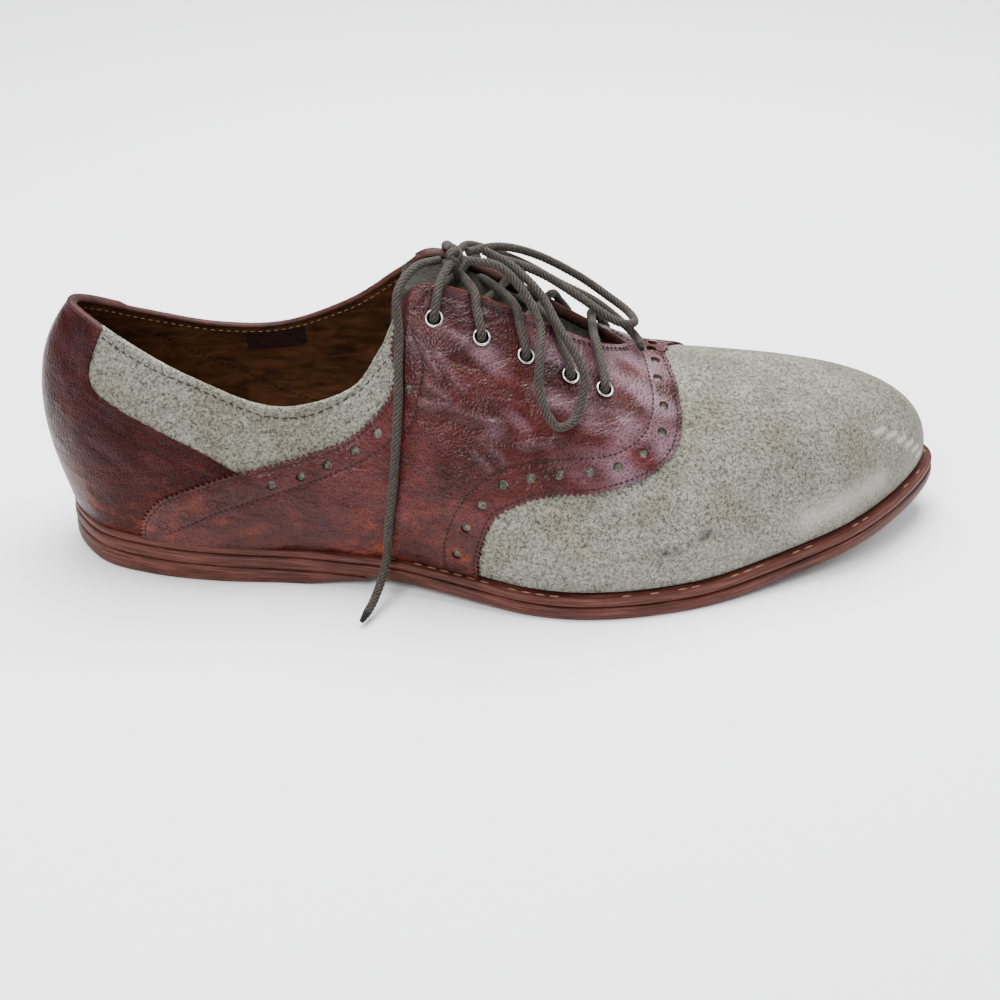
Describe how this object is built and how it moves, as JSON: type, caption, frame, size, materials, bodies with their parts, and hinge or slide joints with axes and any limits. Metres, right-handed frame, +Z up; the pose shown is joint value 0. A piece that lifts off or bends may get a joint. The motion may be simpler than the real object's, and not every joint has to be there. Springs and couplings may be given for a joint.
{
  "type": "shoe",
  "caption": "Low lace-up saddle shoe for a right foot: suede vamp and quarter, oxblood leather saddle and heel counter, stacked leather sole",
  "frame": {"origin": "on the ground, under the middle of the shoe's bounding box without the knot, loops and free ends of its lace", "axes": "+X from heel to toe, +Y towards the medial (inner) side, +Z up"},
  "size_m": [0.3138, 0.1144, 0.1093],
  "materials": {
    "sole_leather": "stacked, stained red-brown, worn",
    "lining_leather": "smooth tan",
    "suede": "brushed taupe suede",
    "oxblood_leather": "creased pull-up, waxed",
    "eyelet_metal": "nickel",
    "lace_cord": "waxed twisted cord"
  },
  "bodies": {
    "root": {"outsole": "sole_leather", "welt": "sole_leather", "heel": "sole_leather", "insole": "lining_leather", "upper": "suede", "saddle": "oxblood_leather", "heel_counter": "oxblood_leather", "tongue": "suede", "eyelet_lateral_1": "eyelet_metal", "eyelet_lateral_2": "eyelet_metal", "eyelet_lateral_3": "eyelet_metal", "eyelet_lateral_4": "eyelet_metal", "eyelet_lateral_5": "eyelet_metal", "eyelet_medial_1": "eyelet_metal", "eyelet_medial_2": "eyelet_metal", "eyelet_medial_3": "eyelet_metal", "eyelet_medial_4": "eyelet_metal", "eyelet_medial_5": "eyelet_metal", "lace_crossings": "lace_cord", "lace_knot": "lace_cord", "lace_loop_near": "lace_cord", "lace_loop_far": "lace_cord", "lace_end_near": "lace_cord", "lace_end_far": "lace_cord"}
  },
  "joints": []
}
